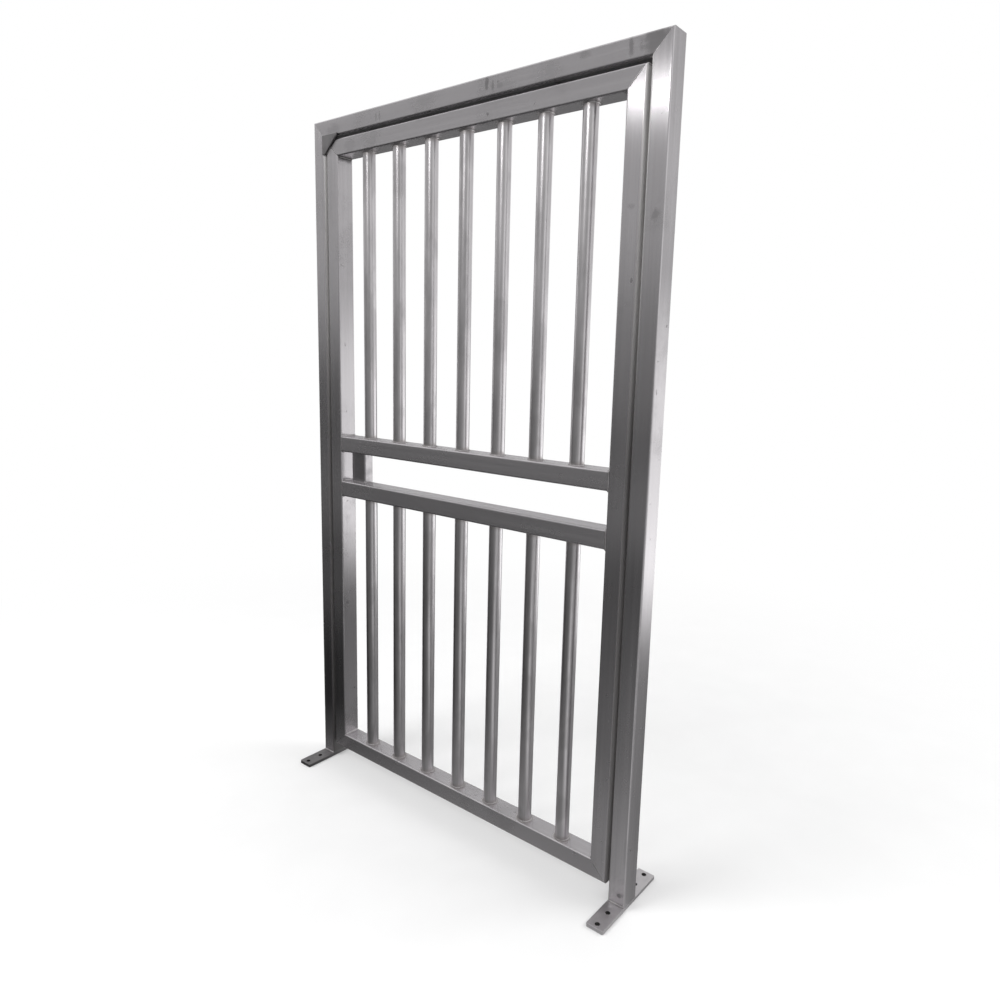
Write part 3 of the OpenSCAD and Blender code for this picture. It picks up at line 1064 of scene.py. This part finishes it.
# %% Turned parts with flaps
ROUND_STEPS = 48
CHAMFER = 1.2 * MM
PIN_RADIUS = 6 * MM
PIN_PLAY = 0.05 * MM
CAP = 6 * MM
FLAP = 6 * MM
FLAP_CORNER = 3 * MM
washer_low, washer_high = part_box("hinge_washer_top")
AXIS_X, AXIS_Y = ((washer_low + washer_high) / 2)[:2]
barrel_low, barrel_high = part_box("hinge_socket_half_top")
BARREL_LENGTH = barrel_high.z - barrel_low.z
BARREL_RADIUS = barrel_high.y - AXIS_Y
post_back, stile_back = post_high.y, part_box("hinge_stile")[1].y


def add_turned(shape, profile):
    """Profile of (radius, height) turned round the hinge axis; radius 0 closes it"""
    rings = []
    for radius, z in profile:
        if radius == 0:
            rings.append([shape.verts.new((AXIS_X, AXIS_Y, z))] * ROUND_STEPS)
        else:
            rings.append([shape.verts.new((point.x, point.y, z))
                          for point in circle(radius, (AXIS_X, AXIS_Y), ROUND_STEPS)])
    join_rings(shape, rings)


def add_flap(shape, node, back_y, towards, from_axis=0.0):
    """Flat flap from inside the barrel to one side of the node's box, with its free
    corners rounded"""
    low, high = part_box(node)
    edge = high.x if towards > 0 else low.x
    start = AXIS_X + towards * from_axis
    wide = abs(edge - start)
    middle_x, middle_z = (start + edge) / 2, low.z + BARREL_LENGTH / 2
    corners = []
    for across, up, _ in rounded_outline(wide, BARREL_LENGTH, FLAP_CORNER, 4):
        if across * towards < 0:
            across, up = -towards * wide / 2, math.copysign(BARREL_LENGTH / 2, up)
        corners.append((middle_x + across, middle_z + up))
    outline = [Vector(corner) for corner in dict.fromkeys(corners)]
    add_plate(shape, [outline], FLAP, lambda u, v, h: (u, back_y + h, v))


def hinge_half(name, node, profile, body, back_y, towards, from_axis=0.0):
    """A turned barrel with its flap"""
    shape = bmesh.new()
    add_turned(shape, profile)
    add_flap(shape, node, back_y, towards, from_axis)
    finished(name, shape, [metals["turned_steel"]], body, node)


print(f"barrel radius {BARREL_RADIUS:.4f}, {BARREL_LENGTH:.3f} long, washer "
      f"{washer_high.z - washer_low.z:.4f} thick")

# %% [markdown]
# Parts that turn on each other need play. The socket is bored a little wider than the
# pin, its flap starts beside the bore, and the washer is a little thinner than the space
# it has. The washers are brass, which runs well on steel.

# %% Two hinges
BORE = PIN_RADIUS + PIN_PLAY
BESIDE_BORE = math.sqrt(BORE ** 2 - (AXIS_Y - stile_back - FLAP) ** 2) + 2 * PIN_PLAY
WASHER_RIM = 0.4 * MM

for place in ("top", "bottom"):
    node = "hinge_pin_half_" + place
    foot, tip = (corner.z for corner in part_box(node))
    shoulder = foot + BARREL_LENGTH
    profile = [(0, foot), (BARREL_RADIUS - CHAMFER, foot), (BARREL_RADIUS, foot + CHAMFER),
               (BARREL_RADIUS, shoulder - CHAMFER), (BARREL_RADIUS - CHAMFER, shoulder),
               (PIN_RADIUS, shoulder), (PIN_RADIUS, tip - CHAMFER),
               (PIN_RADIUS - CHAMFER, tip), (0, tip)]
    hinge_half("pin_half_" + place, node, profile, "frame", post_back, 1)

    node = "hinge_socket_half_" + place
    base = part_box(node)[0].z
    top = base + BARREL_LENGTH
    profile = [(0, top - CAP), (BORE, top - CAP), (BORE, base), (BARREL_RADIUS - CHAMFER, base),
               (BARREL_RADIUS, base + CHAMFER), (BARREL_RADIUS, top - CHAMFER),
               (BARREL_RADIUS - CHAMFER, top), (0, top)]
    hinge_half("socket_half_" + place, node, profile, "leaf", stile_back, -1, BESIDE_BORE)

    node = "hinge_washer_" + place
    low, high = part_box(node)
    thick = high.z - low.z - 2 * PIN_PLAY
    loops = [circle(radius, (AXIS_X, AXIS_Y), ROUND_STEPS)
             for radius in ((high.x - low.x) / 2, BORE)]
    plate_piece("washer_" + place, loops, thick, lambda u, v, h: (u, v, low.z + PIN_PLAY + h),
                ("brass",), "frame", node, WASHER_RIM)

# %% [markdown]
# ## Weld beads
#
# Every joint of the gate is welded. A bead follows its joint and is the same all along,
# apart from fine ripples where the pool froze drop by drop, and a little unevenness of
# the hand. So one node tree makes them all: it follows lines laid along the joints, and
# takes the bead's size from a number stored on each point of the line.

# %% Tree for weld beads
RIPPLE_LENGTH = 2.4 * MM
BEAD_STEP = 0.8 * MM
UNEVEN_PER_METRE = 130.0


def welds_tree():
    """Rippled round beads along the edges of a mesh"""
    tree, given = geometry_tree(
        "weld_beads", ("Geometry", "Geometry"), ("Step", "Float", BEAD_STEP),
        ("Ripple Length", "Float", RIPPLE_LENGTH), ("Ripple", "Float", 0.12),
        ("Unevenness", "Float", 0.4), ("Sides", "Int", 8), ("Seed", "Float", 3.0))
    line = put(tree, "GeometryNodeMeshToCurve", {"Mesh": given["Geometry"]})
    even = put(tree, "GeometryNodeResampleCurve",
               {"Curve": line, "Length": given["Step"]}, mode="LENGTH")
    size = put(tree, "GeometryNodeInputNamedAttribute", {"Name": "bead_radius"},
               data_type="FLOAT").outputs["Attribute"]
    along = tree.nodes.new("GeometryNodeSplineParameter").outputs["Length"]
    wave = math_node("DIVIDE", product(along, math.pi), given["Ripple Length"])
    wave = math_node("ABSOLUTE", math_node("SINE", wave))
    uneven = put(tree, "ShaderNodeTexNoise",
                 {"W": given["Seed"], "Scale": UNEVEN_PER_METRE, "Detail": 1.0},
                 noise_dimensions="4D").outputs[0]
    uneven = product(math_node("SUBTRACT", uneven, 0.5), given["Unevenness"])
    share = weighed(uneven, (wave, given["Ripple"]))
    scale = weighed(size, (size, share))
    ring = put(tree, "GeometryNodeCurvePrimitiveCircle",
               {"Resolution": given["Sides"], "Radius": 1.0})
    bead = put(tree, "GeometryNodeCurveToMesh",
               {"Curve": even, "Profile Curve": ring, "Scale": scale, "Fill Caps": True})
    return end_tree(tree, bead, metals["weld_metal"])


def new_beads():
    """An empty drawing for bead lines"""
    shape = bmesh.new()
    shape.verts.layers.float.new("bead_radius")
    return shape


def add_bead(shape, points, radius, closed=False):
    """Adds one line for a bead"""
    layer = shape.verts.layers.float["bead_radius"]
    row = [shape.verts.new(point) for point in points]
    for corner in row:
        corner[layer] = radius
    for one, two in zip(row, row[1:] + row[:1] if closed else row[1:]):
        shape.edges.new((one, two))


# %% [markdown]
# The lines themselves follow from the boxes of the members. Round a bar the bead sits in
# the corner between tube and rail. Over a mitre it is ground almost flush on the faces,
# and full in the inner corner, where no grinding disc reaches.

# %% Lines of the welds
PROUD = 0.3 * MM
BAR_BEAD = 2.0 * MM
CORNER_BEAD = 2.6 * MM
SEAM_BEAD = 3.4 * MM
SWELL = 0.3  # how much thicker ripples and unevenness make a bead, at the most
# How far out of its corner a bead's middle lies, as a share of its radius
NEST, OPEN_NEST = 0.25, 0.3
LIFT = 0.4 * MM  # how far the middle of a bead on a flat face lies over it


def ring_bead(shape, middle, z, upwards):
    """Round the end of a bar"""
    radius = BAR_RADIUS + NEST * BAR_BEAD
    height = z + upwards * NEST * BAR_BEAD
    points = [(point.x, point.y, height) for point in circle(radius, (middle.x, middle.y))]
    add_bead(shape, points, BAR_BEAD, closed=True)


def mitre_bead(shape, corner, side, updown, outer_proud):
    """Over a 45 degree joint; corner is the outer corner of the frame or the leaf"""
    points = []
    for across, through, _ in rounded_outline(FACE, DEPTH, CORNER, 4):
        on_outside = across > FACE / 2 - CORNER - MM
        sunk = SEAM_BEAD - (outer_proud if on_outside else PROUD)
        out = FACE / 2 - across * (1 - sunk / (FACE / 2))
        y = through * (1 - sunk / (DEPTH / 2))
        points.append((corner.x - side * out, corner.y + y, corner.z - updown * out))
    add_bead(shape, points, SEAM_BEAD, closed=True)
    inner = FACE + OPEN_NEST * CORNER_BEAD
    reach = DEPTH / 2 - CORNER
    x, z = corner.x - side * inner, corner.z - updown * inner
    add_bead(shape, [(x, corner.y - reach, z), (x, corner.y + reach, z)], CORNER_BEAD)


def butt_bead(shape, x, side, low, high):
    """Round the square end of a mid rail that meets a stile"""
    middle = (low + high) / 2
    outline = rounded_outline(FACE + 2 * OPEN_NEST * CORNER_BEAD,
                              DEPTH - 2 * CORNER_BEAD + PROUD, CORNER, 4)
    points = [(x + side * NEST * CORNER_BEAD, middle.y + through, middle.z + across)
              for across, through, _ in outline]
    add_bead(shape, points, CORNER_BEAD, closed=True)


# %% [markdown]
# On the leaf there are 28 beads round the ends of bars, four mitres, the ends of both
# mid rails, and two fine beads along the bracket's fold. They ride on the leaf, so they
# are drawn apart from the frame's.

# %% Welds of the leaf
FOLD_BEAD = 1.3 * MM
leaf_low, leaf_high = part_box("lock_stile")[0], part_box("hinge_stile")[1]
leaf_y = (leaf_low.y + leaf_high.y) / 2
leaf_lines = new_beads()
for panel in ("upper", "lower"):
    for k in range(1, BAR_COUNT + 1):
        low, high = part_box(f"{panel}_bar_{k}")
        ring_bead(leaf_lines, (low + high) / 2, low.z, 1)
        ring_bead(leaf_lines, (low + high) / 2, high.z, -1)
for x, side in ((leaf_low.x, -1), (leaf_high.x, 1)):
    for z, updown in ((leaf_low.z, -1), (leaf_high.z, 1)):
        mitre_bead(leaf_lines, Vector((x, leaf_y, z)), side, updown, PROUD)
for node in ("upper_mid_rail", "lower_mid_rail"):
    low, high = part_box(node)
    butt_bead(leaf_lines, low.x, 1, low, high)
    butt_bead(leaf_lines, high.x, -1, low, high)
low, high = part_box("lock_case")
fold = outer_fold[:-1] + [(high.x, high.y - BEND)]
for z, upwards in ((low.z, 1), (high.z, -1)):
    add_bead(leaf_lines, [(x, y, z + upwards * LIFT) for x, y in fold], FOLD_BEAD)
print(len(leaf_lines.edges), "pieces of line on the leaf")

# %% [markdown]
# The frame's mitres are left thicker on the outside, where the disc would have cut into
# the corner. A bead runs round the foot of each post, and a thin one behind the stop
# plate.

# %% Welds of the frame
FOOT_BEAD = 2.8 * MM
STOP_BEAD = 1.2 * MM
frame_lines = new_beads()
for x, side in ((cad_box[0].x, -1), (cad_box[1].x, 1)):
    mitre_bead(frame_lines, Vector((x, 0, cad_box[1].z)), side, 1, -SWELL * SEAM_BEAD)
for node in ("lock_post", "hinge_post"):
    low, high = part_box(node)
    middle_x = (low.x + high.x) / 2
    across = FACE - 2 * (1 + SWELL) * FOOT_BEAD
    outline = rounded_outline(across, DEPTH + 0.4 * FOOT_BEAD, CORNER, 4)
    add_bead(frame_lines, [(middle_x + point[0], point[1], low.z + OPEN_NEST * FOOT_BEAD)
                           for point in outline], FOOT_BEAD, closed=True)
low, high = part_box("stop_plate")
add_bead(frame_lines, [(low.x, high.y, low.z + 2 * STOP_TIP), (low.x, high.y, high.z),
                       (high.x - 2 * STOP_TIP, high.y, high.z)], STOP_BEAD)
print(len(frame_lines.edges), "pieces of line on the frame")

# %% [markdown]
# A hinge flap is welded along its free edge and along both ends, as far as it lies on
# flat metal. Then the tree is put on both drawings, once for each body of the gate.

# %% Welds of the hinges, and all beads
FLAP_BEAD = 2.4 * MM
TURN = 2 * MM  # how far from a flap's corner the bead leaves its edge
SEEDS = {"frame": 3.0, "leaf": 8.0}

for half, lines, back_y, towards, flat_x in (
        ("hinge_pin_half_", frame_lines, post_back, 1, post_low.x + CORNER),
        ("hinge_socket_half_", leaf_lines, stile_back, -1, leaf_high.x - CORNER)):
    for place in ("top", "bottom"):
        low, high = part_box(half + place)
        edge = high.x if towards > 0 else low.x
        turn_x = edge - towards * TURN
        top = low.z + BARREL_LENGTH
        y = back_y + LIFT
        add_bead(lines, [(flat_x, y, low.z), (turn_x, y, low.z), (edge, y, low.z + TURN),
                         (edge, y, top - TURN), (turn_x, y, top), (flat_x, y, top)], FLAP_BEAD)

bead_tree = welds_tree()
for body, lines in (("frame", frame_lines), ("leaf", leaf_lines)):
    beads = new_object(body + "_welds", mesh_of(lines, body + "_weld_lines"))
    grown(beads, bead_tree, Seed=SEEDS[body])
    beads.data.shade_smooth()
    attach(beads, body)
    print(beads.name, len(beads.data.polygons), "faces")
